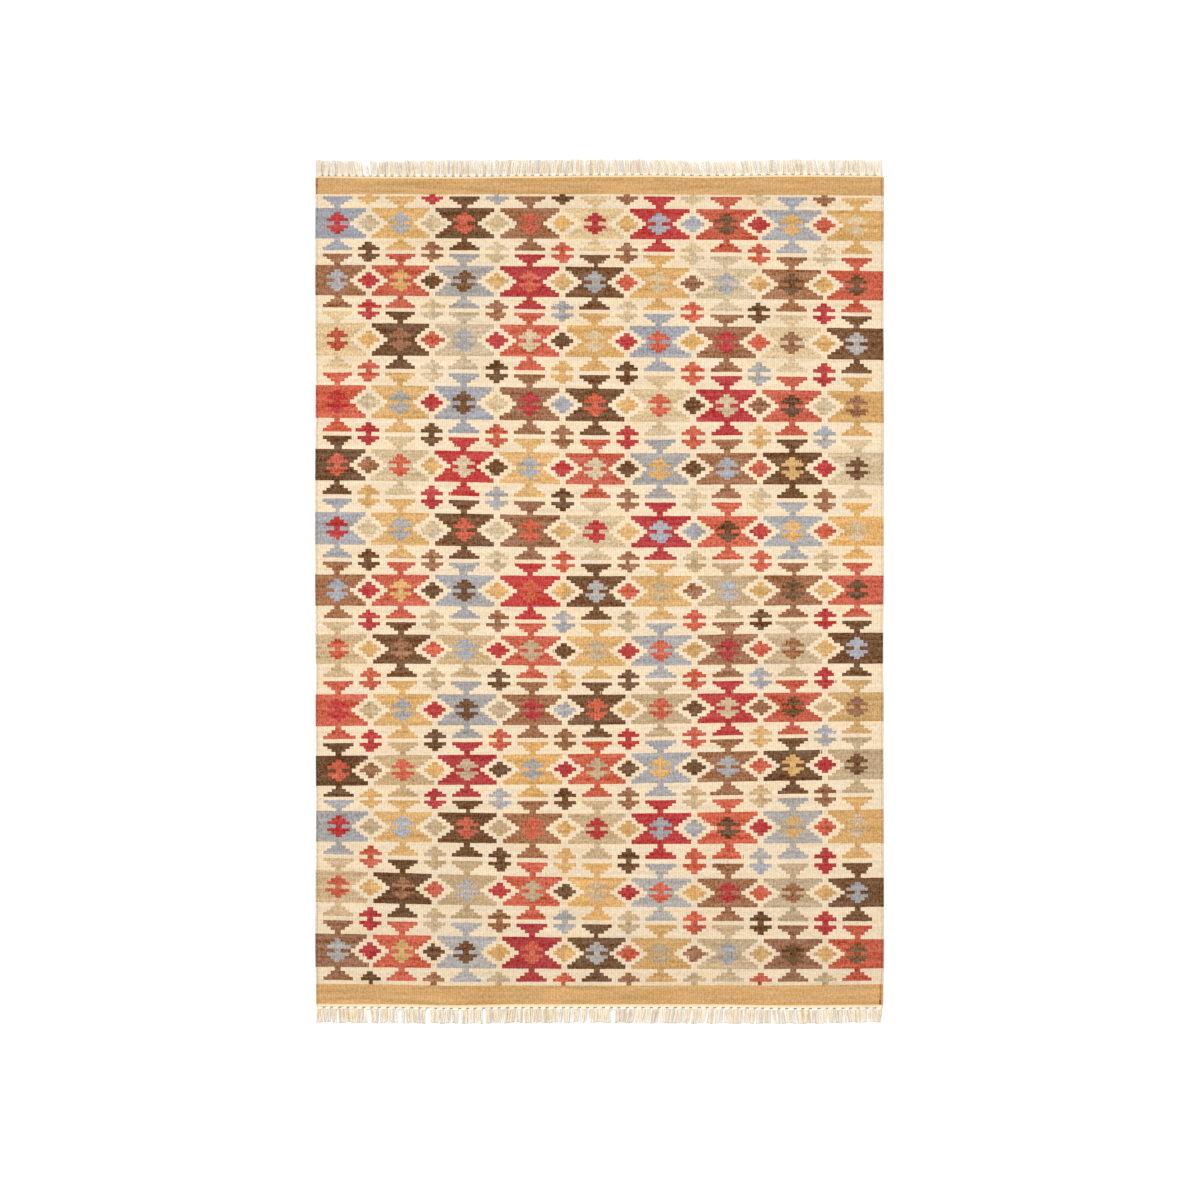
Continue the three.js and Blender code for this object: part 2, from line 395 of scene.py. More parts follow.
def wovenEnd(x, end):
    # how far out the cloth's end lies, for a place across the rug
    return halfLength + readTable(ends[end]["rows"], "across", 0.5 + x / rug["width"], "stray")


def weftLines(across):
    # the rows of the mesh: a place in bands, and the distance below the top end
    t = 2 * across - 1

    def line(at, slope, sag, ripple=0):
        return at + slope * t / 2 + sag * (1 - t * t) + ripple * np.cos(rug["rippleTurn"] * t)

    def plainLine(end, stray):
        band = plainBands[end]
        return line(band["at"], band["slope"], band["sag"]) + band["follow"] * stray

    top = -readTable(ends["top"]["rows"], "across", across, "stray")
    stray = readTable(ends["bottom"]["rows"], "across", across, "stray")
    rows = [(firstStep - plainReach, top), (firstStep, plainLine("top", top))]
    rows.append((firstStep + plainEnd - plainStart, plainLine("top", top) + firstCream))
    for band, bar in enumerate(bars):
        for side, edge in enumerate(("start", "end")):
            down = line(bar[edge], bar["slope"][side], bar["sag"][side], bar["ripple"])
            rows.append((band + side * barShare, down))
    rows.append((lastStep, plainLine("bottom", stray)))
    rows.append((lastStep + plainReach, rug["length"] + stray))
    full = []
    for (low, first), (high, second) in zip(rows, rows[1:]):
        full.append((low, first))
        full.append(((low + high) / 2, (first + second) / 2))
    full.append(rows[-1])

    def near(outer, inner, share):
        return tuple(a + (b - a) * share for a, b in zip(outer, inner))

    rounding = (0.012, 0.05)  # two lines close to each end keep its rounding short
    starts = [near(full[0], full[1], share) for share in rounding]
    stops = [near(full[-1], full[-2], share) for share in reversed(rounding)]
    return [full[0], *starts, *full[1:-1], *stops, full[-1]]


def warpPlaces(rib, band, along):
    # where a rib lies across the rug, with its drift and the drawn-in sides
    ribs, first, step = rug["ribs"], rug["firstColumn"], rug["columnRibs"]
    at = [0] + [first + step * column for column in range(len(columnMiddles))] + [ribs]
    x = np.interp(rib, at, [-halfWidth, *columnMiddles, halfWidth])
    margin = rug["sideMargin"] * step
    x = x + readTable(sideDrawIn, "along", along, "left") * np.clip(1 - rib / margin, 0, 1)
    x = x - readTable(sideDrawIn, "along", along, "right") * np.clip(1 - (ribs - rib) / margin, 0, 1)
    column = (rib - first) / step
    inside = np.clip(np.minimum(rib, ribs - rib) / first, 0, 1)
    for half, (low, high) in driftSpans.items():
        bulge = np.sin(np.pi * np.clip((column - low) / (high - low), 0, 1))
        x = x + readTable(drifts, "band", band, half) * bulge * inside
    inside = np.clip(np.minimum(rib, ribs - rib) - 1, 0, 1)
    return x + waves(ribWaves, rib, band) * inside


def ribHeights(rib):
    # the top face across the ribs: a rounded crown on each, and a cord at each side
    part = rib % 1
    crown = 1 - (2 * part - 1) ** 2
    height = rug["crown"] - rug["ribDepth"] * (1 - crown)
    outer = np.minimum(rib, rug["ribs"] - rib)
    height = height + rug["cordRise"] * np.clip(rug["cordRibs"] - outer, 0, 1)
    return np.where(outer == 0, rug["rim"] * rug["crown"], height)


def weaveCloth():
    ribs, steps, inset = rug["ribs"], rug["ribSteps"], rug["backInset"]
    upper = np.arange(ribs * steps + 1) / steps
    lower = np.concatenate([[ribs - inset], np.arange(ribs - 1, 0, -1), [inset]])
    rib = np.concatenate([upper, lower])
    rows = weftLines(rib / ribs)
    heights = np.concatenate([ribHeights(upper), np.zeros(len(lower))])
    ring = len(rib)
    grid = np.zeros((len(rows), ring, 3))
    places = np.array([place for place, _ in rows])
    swell = waves(swellWaves, rib[:, None], places)
    for index, (place, down) in enumerate(rows):
        along = 1 - down / rug["length"]
        grid[index, :, 0] = warpPlaces(rib, place, along)
        grid[index, :, 1] = rug["middle"] + halfLength - down
        grid[index, :, 2] = heights + np.where(heights > 0, swell[:, index], 0)
    for index in (0, -1):
        grid[index, :, 2] *= rug["endRim"]
    points = grid.reshape(-1, 3)

    corner = np.arange(ring)
    following = (corner + 1) % ring
    start = np.arange(len(rows) - 1)[:, None] * ring
    quads = np.stack(
        [start + corner, start + ring + corner, start + ring + following, start + following], axis=-1
    ).reshape(-1, 4)
    faces = quads.tolist()
    last = (len(rows) - 1) * ring
    for r in range(ribs):
        over = [r * steps + k for k in range(steps + 1)]
        under = [len(upper) + (ribs - r - 1), len(upper) + (ribs - r)]
        faces.append(over + under)
        faces.append([last + k for k in reversed(over + under)])
    made = makeObject("kilimCloth", points, faces)

    mesh = made.data
    ribAt = np.tile(rib, len(rows))
    bandAt = np.repeat(places, ring)
    storeValues(mesh, "ribAt", "POINT", ribAt)
    storeValues(mesh, "bandAt", "POINT", bandAt)

    # each face gets the yarn of each motif that may lie on it
    faceRib = ribAt[quads].mean(axis=1)
    faceBand = bandAt[quads].mean(axis=1)
    extra = len(faces) - len(quads)
    names = list(yarns)
    column = (faceRib - rug["firstColumn"]) / rug["columnRibs"]
    columns = len(columnMiddles)
    for motif in motifWidths:
        # crosses fill the rows between the bands
        order = bandOrder[0::2] if motif == "cross" else bandOrder[1::2]
        ahead = rowAhead + barShare if motif == "cross" else rowAhead
        row = np.clip(np.floor(faceBand + ahead), 0, len(order) - 1).astype(int)
        if motif in onColumns:
            place = np.clip(np.round(column), 0, columns - 1).astype(int)
        else:
            place = np.clip(np.floor(column), 0, columns - 2).astype(int)
        chart = []
        for band in order:
            letters = plan[band][motif]
            chart.append([names.index(letters[k % len(letters)]) for k in range(columns)])
        values = np.array(chart)[row, place]
        storeValues(mesh, motif, "FACE", np.concatenate([values, np.zeros(extra)]))

    # the face and the back share one map, since the weave is the same on both
    layer = mesh.uv_layers.new(name="OFBake")
    loops = np.zeros(len(mesh.loops), np.int32)
    mesh.loops.foreach_get("vertex_index", loops)
    border = 0.002
    reach = places[-1] - places[0]
    flat = np.stack([ribAt / ribs, (bandAt - places[0]) / reach], axis=1)[loops]
    flat = border + (1 - 2 * border) * flat
    layer.data.foreach_set("uv", flat.astype(np.float32).ravel())
    return made


cloth = weaveCloth()
print("cloth woven:", len(cloth.data.polygons), "faces")


# Its wool. Lengths are in metres here, as the shader measures them.
wool = {
    "edgeStray": 0.25,     # ribs that a motif's upright edge strays by
    "miscount": 1.4,       # how often the weaver is a rib off: higher is oftener
    "stepStray": 0.006,    # bands that a step strays by
    "slit": 0.07,          # half a slit's width, in ribs
    # painted shade in each slit
    "slitShade": 0.25,
    "valleyShade": 0.14,   # how much painted shade darkens the valley between two ribs
    "valleyPower": 2.0,    # higher is narrower
    "cordShade": 0.14,     # how much painted shade darkens beside the cord at each side
    "cordAt": (1.0, 0.45), # ribs from the side to that shade's middle, and its reach
    "heather": 0.38,       # streaks along the ribs
    "blotch": 0.2,
    "fleck": 0.29,
    "abrash": 0.3,         # lighter and darker wefts
    "clouds": 0.1,
    "shares": {"w": 0.54, "c": 0.8, "o": 1.1, "n": 1.2},  # how much of this shows on a yarn
    "sandShare": 0.7,      # and on the plain bands, but for the abrash and the clouds
    "sandAbrash": 0.78,
    "haze": 0.2,           # pale hairs, which show more on a dark yarn
    "tint": 0.29,          # wefts are redder or greener in the plain bands
    "patternTint": 0.21,
    "tintBlue": 2.4,       # how much more their blue changes than their red
    "dyeLot": 0.09,        # difference from one motif to the next
    "lotTint": 0.09,
    # painted light: the cloth is paler around this band and darker towards both ends, as the light falls
    # off
    "paintedLightFalloff": {"at": 5, "reach": 7.5, "most": 0.032, "drop": 0.105},  # paler around this band
    "golden": {"from": -0.004, "reach": 0.05, "lessBlue": 0.24},  # each end's last wefts, in bands
    "usedUp": 0.75,        # how far a used-up yarn hides the yarn of its band
    "weftPitch": 0.0013,
    "fuzz": 0.7,           # how high hairs stand, beside the wefts
    "bump": 0.5,
    "bumpDepth": 0.0002,
    "roughness": 0.95,
    "gloss": 0.2,
    "sheen": 0.12,
    "sheenRoughness": 0.6,
}

# The clouds of noise in it: how often each changes along x, y and z, and its detail
woolClouds = {
    "steps": ((25, 12, 1), 2.0),
    "counting": ((0.13, 31, 1), 1.0),
    "edges": ((60, 300, 1), 2.0),
    "heather": ((1.1, 90, 1), 3.0),
    "blotch": ((60, 200, 1), 3.0),
    "fleck": ((210, 290, 1), 1.0),
    "abrash": ((5, 85, 1), 3.0),
    "clouds": ((9, 30, 1), 2.0),
    "tint": ((8, 100, 1), 3.0),
    "golden": ((30, 4, 1), 2.0),
    "fuzz": ((900, 900, 900), 2.0),
}

# Other yarns that the weaver used up beside the selvedges of the two plain end bands. reach
# runs from the woven end (0) to where the pattern starts (1).
usedUp = [
    {"end": "top", "ribs": (0, 1.5), "reach": (0, 0.5), "colour": (188, 108, 64)},
    {"end": "top", "ribs": (0.3, 1.0), "reach": (0.4, 1), "colour": (142, 106, 62)},
    {"end": "top", "ribs": (279.3, 280.0), "reach": (0, 1), "colour": (182, 126, 70)},
    {"end": "bottom", "ribs": (279.2, 280.0), "reach": (0, 1), "colour": (166, 108, 60)},
    {"end": "bottom", "ribs": (278.7, 280.1), "reach": (0, 0.25), "colour": (118, 74, 44)},
]


def woolMaterial():
    material, tree, shader = newMaterial("heathered wool")
    place = tree.nodes.new("ShaderNodeTexCoord").outputs["Object"]
    ribAt, bandAt = stored(tree, "ribAt"), stored(tree, "bandAt")
    split = tree.nodes.new("ShaderNodeSeparateXYZ")
    tree.links.new(place, split.inputs[0])
    weftAt = split.outputs["Y"]
    ribs, first, step = rug["ribs"], rug["firstColumn"], rug["columnRibs"]
    halfColumn = step / 2

    def cloud(name, at=place):
        # a cloud with values around 0
        return calc(tree, "SUBTRACT", noise(tree, at, *woolClouds[name]), 0.5)

    # hand weaving: edges stray a little, and a step is sometimes a rib wider or narrower
    band = calc(tree, "MULTIPLY_ADD", cloud("steps"), 2 * wool["stepStray"], bandAt)
    inBand = calc(tree, "FRACT", band)
    counts = [[index / len(stepStarts)] * 3 + [1.0] for index in range(len(stepStarts))]
    stepNumber = calc(tree, "ADD", calc(tree, "FLOOR", band), stepRamp(tree, inBand, stepStarts, counts))
    counted = cloud("counting", combine(tree, ribAt, stepNumber))
    off = calc(tree, "MULTIPLY", counted, 2 * wool["miscount"])
    rib = calc(tree, "MULTIPLY_ADD", cloud("edges"), 2 * wool["edgeStray"], ribAt)
    rib = calc(tree, "ADD", rib, calc(tree, "ROUND", off))
    fromColumn = calc(tree, "PINGPONG", calc(tree, "SUBTRACT", rib, first), halfColumn)
    fromBetween = calc(tree, "SUBTRACT", halfColumn, fromColumn)

    # each motif: how wide it is at this step, and whether this point is inside
    masks, slits = {}, []
    for motif, widths in motifWidths.items():
        levels = [[width / step] * 3 + [1.0] for width in widths]
        share = stepRamp(tree, inBand, stepStarts, levels)
        half = calc(tree, "MULTIPLY", share, halfColumn)
        away = fromColumn if motif in onColumns else fromBetween
        masks[motif] = calc(tree, "LESS_THAN", away, half)
        edge = calc(tree, "ABSOLUTE", calc(tree, "SUBTRACT", away, half))
        slits.append(calc(tree, "LESS_THAN", edge, wool["slit"]))
    last = first + step * (len(columnMiddles) - 1)
    middle = (first + last) / 2
    fromMiddle = calc(tree, "ABSOLUTE", calc(tree, "SUBTRACT", ribAt, middle))
    margin = calc(tree, "GREATER_THAN", fromMiddle, (last - first) / 2)
    solid = calc(tree, "MULTIPLY", margin, calc(tree, "LESS_THAN", inBand, barShare))
    masks["hourglass"] = calc(tree, "MAXIMUM", masks["hourglass"], solid)
    inner = calc(tree, "SUBTRACT", 1.0, margin)
    for motif in ("diamond", "cross"):
        masks[motif] = calc(tree, "MULTIPLY", masks[motif], inner)
    bandMiddle = (firstStep + lastStep) / 2
    fromCentre = calc(tree, "ABSOLUTE", calc(tree, "SUBTRACT", bandAt, bandMiddle))
    plain = calc(tree, "GREATER_THAN", fromCentre, (lastStep - firstStep) / 2)

    # the yarn's number at this point
    yarn = 0.0
    for motif in motifWidths:
        yarn = blendValue(tree, masks[motif], yarn, stored(tree, motif))
    names = list(yarns)
    sand = float(names.index("s"))
    yarn = blendValue(tree, plain, yarn, sand)
    count = len(yarns)
    tones = [linear(seen) for _, seen in yarns.values()]
    starts = [index / count for index in range(count)]
    at = calc(tree, "DIVIDE", calc(tree, "ADD", yarn, 0.5), float(count))
    colour = stepRamp(tree, at, starts, tones)
    stone = calc(tree, "COMPARE", yarn, float(names.index("t")), 0.5)
    later = calc(tree, "MULTIPLY", stone, calc(tree, "GREATER_THAN", bandAt, secondLot["from"]))
    colour = blendColour(tree, later, colour, linear(secondLot["stone"]))
    outward = (lastStep - firstStep) / 2 + plainReach
    fromEnd = calc(tree, "SUBTRACT", outward, fromCentre)
    endSlack = 0.01  # bands, so that a mark that starts at the woven end takes in its edge
    for mark in usedUp:
        half = "LESS_THAN" if mark["end"] == "top" else "GREATER_THAN"
        inside = calc(tree, half, bandAt, bandMiddle)
        near, far = (share * plainReach for share in mark["reach"])
        low, high = mark["ribs"]
        for test, value, limit in (
            ("GREATER_THAN", fromEnd, near - endSlack),
            ("LESS_THAN", fromEnd, far),
            ("GREATER_THAN", ribAt, low),
            ("LESS_THAN", ribAt, high),
        ):
            inside = calc(tree, "MULTIPLY", inside, calc(tree, test, value, limit))
        share = calc(tree, "MULTIPLY", inside, wool["usedUp"])
        colour = blendColour(tree, share, colour, linear(mark["colour"]))

    # heathering along each rib, blotches, lighter and darker wefts
    mottle = 0.0
    for name, at in (("heather", combine(tree, ribAt, weftAt)), ("blotch", place), ("fleck", place)):
        mottle = calc(tree, "MULTIPLY_ADD", cloud(name, at), 2 * wool[name], mottle)
    mottle = calc(tree, "MULTIPLY", mottle, blendValue(tree, plain, 1.0, wool["sandShare"]))
    broad = 0.0
    for name in ("abrash", "clouds"):
        broad = calc(tree, "MULTIPLY_ADD", cloud(name), 2 * wool[name], broad)
    broadShare = blendValue(tree, plain, 1.0, wool["sandAbrash"])
    mottle = calc(tree, "MULTIPLY_ADD", broad, broadShare, mottle)
    strength = 1.0
    for letter, share in wool["shares"].items():
        its = calc(tree, "COMPARE", yarn, float(names.index(letter)), 0.5)
        strength = calc(tree, "MULTIPLY_ADD", its, share - 1, strength)
    mottle = calc(tree, "MULTIPLY_ADD", mottle, strength, 1.0)
    haze = [wool["haze"]] * 3 + [1.0]
    colour = blendColour(tree, 1.0, colour, haze, "ADD")
    colour = blendColour(tree, 1.0, colour, grey(tree, mottle), "MULTIPLY")
    colour = blendColour(tree, 1.0, colour, haze, "SUBTRACT")

    # dye lots, and painted light that is brightest around one band
    lot = tree.nodes.new("ShaderNodeTexWhiteNoise")
    lot.noise_dimensions = "3D"
    fromLeft = calc(tree, "ADD", ribAt, halfColumn - first)
    column = calc(tree, "FLOOR", calc(tree, "DIVIDE", fromLeft, float(step)))
    row = calc(tree, "FLOOR", calc(tree, "ADD", bandAt, rowAhead))
    tree.links.new(combine(tree, column, row, yarn), lot.inputs["Vector"])
    dyed = calc(tree, "MULTIPLY", calc(tree, "SUBTRACT", lot.outputs["Value"], 0.5), 2 * wool["dyeLot"])
    inMotif = calc(tree, "GREATER_THAN", yarn, sand + 0.5)
    # painted light: paler around one band and darker towards both ends, where the light falls off
    paintedLightFalloff = wool["paintedLightFalloff"]
    away = calc(tree, "SUBTRACT", bandAt, paintedLightFalloff["at"])
    away = calc(tree, "POWER", calc(tree, "DIVIDE", away, paintedLightFalloff["reach"]), 2.0)
    light = calc(tree, "MULTIPLY_ADD", away, -paintedLightFalloff["drop"], 1 + paintedLightFalloff["most"])
    light = blendValue(tree, plain, light, 1.0)
    light = calc(tree, "MULTIPLY_ADD", dyed, inMotif, light)
    lotColour = tree.nodes.new("ShaderNodeSeparateColor")
    tree.links.new(lot.outputs["Color"], lotColour.inputs[0])
    lotTint = calc(tree, "MULTIPLY", calc(tree, "SUBTRACT", lotColour.outputs[2], 0.5), inMotif)

    # painted shade: darker between two ribs, beside each selvedge's cord, and in the slits at upright edges
    turn = calc(tree, "MULTIPLY", ribAt, 2 * math.pi)
    valley = calc(tree, "MULTIPLY_ADD", calc(tree, "COSINE", turn), 0.5, 0.5)
    valley = calc(tree, "POWER", valley, wool["valleyPower"])
    light = calc(tree, "MULTIPLY_ADD", valley, -wool["valleyShade"], light)
    inward = calc(tree, "MINIMUM", ribAt, calc(tree, "SUBTRACT", float(ribs), ribAt))
    beside = calc(tree, "COMPARE", inward, *wool["cordAt"])
    light = calc(tree, "MULTIPLY_ADD", beside, -wool["cordShade"], light)
    slit = slits[0]
    for other in slits[1:]:
        slit = calc(tree, "MAXIMUM", slit, other)
    slit = calc(tree, "MULTIPLY", slit, calc(tree, "SUBTRACT", 1.0, plain))
    light = calc(tree, "MULTIPLY_ADD", slit, -wool["slitShade"], light)

    # wefts are redder or greener, and the last ones at each end more golden
    golden = wool["golden"]
    wavy = noise(tree, place, *woolClouds["golden"])
    reach = calc(tree, "MULTIPLY_ADD", wavy, golden["reach"], golden["from"])
    atEnd = calc(tree, "LESS_THAN", fromEnd, reach)
    tintShare = blendValue(tree, plain, wool["patternTint"], wool["tint"])
    tint = calc(tree, "MULTIPLY", cloud("tint"), tintShare)
    red = calc(tree, "ADD", tint, 1.0)
    blue = calc(tree, "MULTIPLY_ADD", tint, -wool["tintBlue"], 1.0)
    blue = calc(tree, "MULTIPLY_ADD", atEnd, -golden["lessBlue"], blue)
    red = calc(tree, "MULTIPLY_ADD", lotTint, -wool["lotTint"], red)
    blue = calc(tree, "MULTIPLY_ADD", lotTint, 2 * wool["lotTint"], blue)
    shade = tree.nodes.new("ShaderNodeCombineColor")
    for socket, share in zip(shade.inputs, (red, 1.0, blue)):
        plug(tree, socket, calc(tree, "MULTIPLY", light, share))
    colour = blendColour(tree, 1.0, colour, shade.outputs[0], "MULTIPLY")
    tree.links.new(colour, shader.inputs["Base Color"])

    # wefts pass over and under every other rib
    parity = calc(tree, "MULTIPLY", calc(tree, "FLOOR", ribAt), math.pi)
    passes = calc(tree, "MULTIPLY_ADD", weftAt, 2 * math.pi / wool["weftPitch"], parity)
    grain = calc(tree, "MULTIPLY_ADD", calc(tree, "SINE", passes), 0.5, 0.5)
    fuzz = noise(tree, place, *woolClouds["fuzz"])
    finishYarn(tree, shader, calc(tree, "MULTIPLY_ADD", fuzz, wool["fuzz"], grain), wool)
    return material


cloth.data.materials.append(woolMaterial())
print("wool dyed")


# The fringes, in millimetres, made with their tips towards +Y. Widths along a fringe are in
# halves of a tassel's pitch, and turns in radians from one tassel to the next. A yarn's ply is
# the length of one full twist, and its lobe how far the two plies stand out, in radii.
fringe = {
    "inset": 3,              # from the cloth's full width to the fringe
    "tassels": 71,
    "light": (0.92, 1.045),  # how pale single yarns are
}
knotDrift = {"by": 1.4, "turn": 2.1}
leanWaves = [{"by": 2.4, "turn": 0.8}, {"by": 1.4, "turn": 2.2}]
warpEnd = {
    "radius": 1.05,
    "lobe": 0.12,
    "ply": 9,
    "sides": 5,
    "hidden": 1,           # how far past the dark cord it goes
    "past": 2,             # how far past the binding it goes
    "gather": 0.45,        # how far it goes towards its knot, as a share of the way
    "height": 1.5,
    "rise": 0.6,
}
twine = {
    "radius": 1.5,
    "lobe": 0.2,
    "ply": 11.4,
    "sides": 6,
    "step": 1.8,
    "heights": (3.2, 2.6, 2.2),
    "tones": ("golden", "peach", "cream"),
}
# a dark cord that stands for the shadow in the openings between knots: painted shadow
shadowCord = {
    "radius": 1.25,
    "lobe": 0.15,
    "ply": 9,
    "sides": 6,
    "half": 0.72,
    "height": 2.1,
    "stray": 0.3,
}
knot = {
    "radius": 1.3,
    "lobe": 0.1,
    "ply": 9,
    "sides": 6,
    "halfWidth": 0.6,
    "halfHeight": 1.2,
    "above": 0.2,          # clear of the floor
    "turns": 2.4,
    "points": 28,
    "pitch": 2.1,
    "slant": (0.3, 1.1),
}
tassel = {
    "yarns": 13,
    "radius": 0.85,
    "lobe": 0.16,
    "ply": 9,
    "sides": 6,
    "steps": 9,
    "root": 1.6,           # how far past the dark cord the yarns start
    "widest": 1.06,
    "spread": ((0, 0.76), (0.3, 0.87), (1, 0.8439)),  # from the root (0) to the tips (1)
    "opened": ((0, 0), (0.22, 1), (1, 1)),  # how far it gives way there to a parting
    "parted": 16,          # how far from a parting the yarns do so
    "uneven": 3,           # how much shorter a whole tassel may be
    "unevenTurn": 2.4,
    "halfTurn": 1.8,       # the same from a tassel's left half to its right
    "cut": 2,              # how much shorter a single yarn may be
    "bow": 1.5,            # a lean grows with this power of the way
    "askew": 1.2,          # how far whole tassels lean by chance
    "stray": 1.25,         # and single yarns
    "curl": 0.8,
    "curlTurn": 5,         # radians from the root to the tip
    "lift": 1.2,
    "lying": 1.15,         # a lying yarn's height, in radii
    "lowest": 1.18,
    "layers": (0.6, 0.7),  # how high the lower yarns lie, and how much higher the upper ones
    "hump": 0.8,           # over the knot, from where it falls with this power of the way
    "humpPower": 6,
    "sink": 0.6,           # towards the tips
}
# the lilac yarns are painted shade on each tassel's shaded side
yarnTones = ["cream", "peach", "shadedLilac", "tan", "golden", "shadowCord"]
tanLeast = 0.03            # least tan yarn in a tassel
peach = {"from": -0.6, "there": 0.36, "else": 0.12}  # share of peach yarns left of this place
shadedLilac = {"from": 0.5, "there": 0.45, "else": 0.12}   # and of lilac ones right of this one: painted shade on each tassel's side away from the light


def tubes(paths, yarn, facing, skew):
    # closed two-ply yarns along paths, an array of tube, point and x y z
    count, length = paths.shape[:2]
    sides = yarn["sides"]
    tangent = np.gradient(paths, axis=1)
    tangent /= np.linalg.norm(tangent, axis=2, keepdims=True)
    side = np.cross(tangent, facing)
    side /= np.linalg.norm(side, axis=2, keepdims=True)
    normal = np.cross(side, tangent)
    run = np.linalg.norm(np.diff(paths, axis=1), axis=2)
    run = np.concatenate([np.zeros((count, 1)), np.cumsum(run, axis=1)], axis=1)
    angle = 2 * math.pi * np.arange(sides) / sides
    spin = 2 * math.pi * run / yarn["ply"] + skew
    wide = yarn["radius"] * (1 + yarn["lobe"] * np.cos(2 * (angle - spin[..., None])))
    ring = paths[:, :, None] + wide[..., None] * (
        np.cos(angle)[:, None] * side[:, :, None] + np.sin(angle)[:, None] * normal[:, :, None]
    )
    each = length * sides
    k = np.arange(sides)
    start = (np.arange(count) * each)[:, None, None] + (np.arange(length - 1) * sides)[:, None]
    after = (k + 1) % sides
    quads = np.stack([start + k, start + after, start + sides + after, start + sides + k], axis=-1)
    caps = [list(range(t * each + sides - 1, t * each - 1, -1)) for t in range(count)]
    caps += [list(range((t + 1) * each - sides, (t + 1) * each)) for t in range(count)]
    around = np.broadcast_to(np.stack([k, k + 1, k + 1, k], axis=-1) / sides, quads.shape)
    spins = np.broadcast_to((spin / (2 * math.pi))[:, :, None], (count, length, sides))
    before, beyond = spins[:, :-1], spins[:, 1:]
    twisted = np.stack([before, before, beyond, beyond], axis=-1)
    maps = np.stack([around, twisted], axis=-1).reshape(-1, 2)
    maps = np.concatenate([maps, np.zeros((2 * count * sides, 2))])
    return ring.reshape(-1, 3), quads.reshape(-1, 4).tolist() + caps, maps, each


